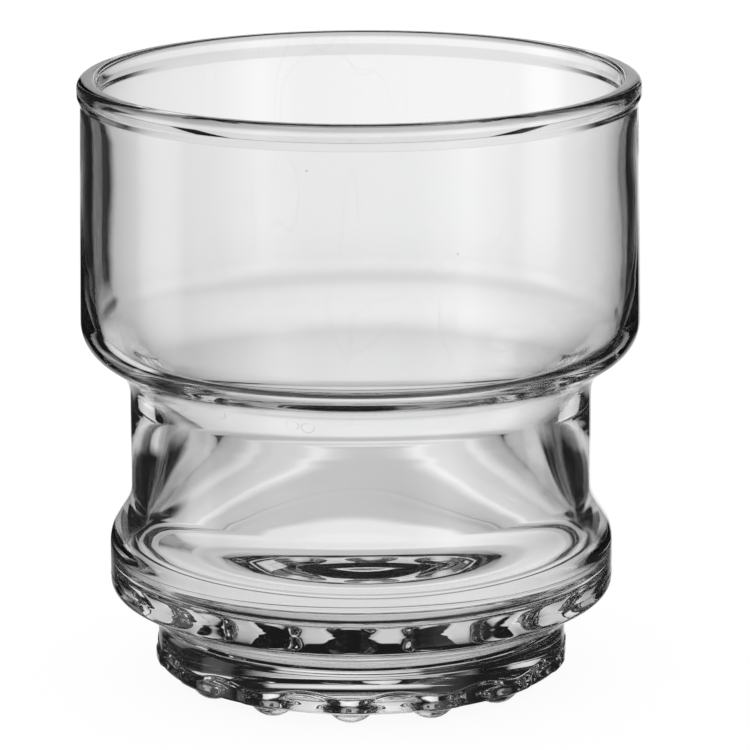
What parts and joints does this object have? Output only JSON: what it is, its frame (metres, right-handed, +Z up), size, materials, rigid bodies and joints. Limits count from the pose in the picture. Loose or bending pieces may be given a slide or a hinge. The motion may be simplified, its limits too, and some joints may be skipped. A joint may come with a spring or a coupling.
{
  "type": "stacking glass tumbler",
  "caption": "Clear glass tumbler with a beaded rim, straight bowl, stepped shoulder, waist, bulge and a foot on a ring of rounded nubs, for serving punch and other drinks.",
  "frame": {"origin": "centre of the ring of nub flats, in the plane that the glass stands on", "axes": "+Z up along the axis of the glass, -Y towards the viewer of the picture, +X to the viewer's right"},
  "size_m": [0.0822, 0.0822, 0.0898],
  "materials": {
    "clear_glass": "clear, fire-polished, with faint mould waviness"
  },
  "bodies": {
    "root": {"glass_tumbler": "clear_glass"}
  },
  "joints": []
}
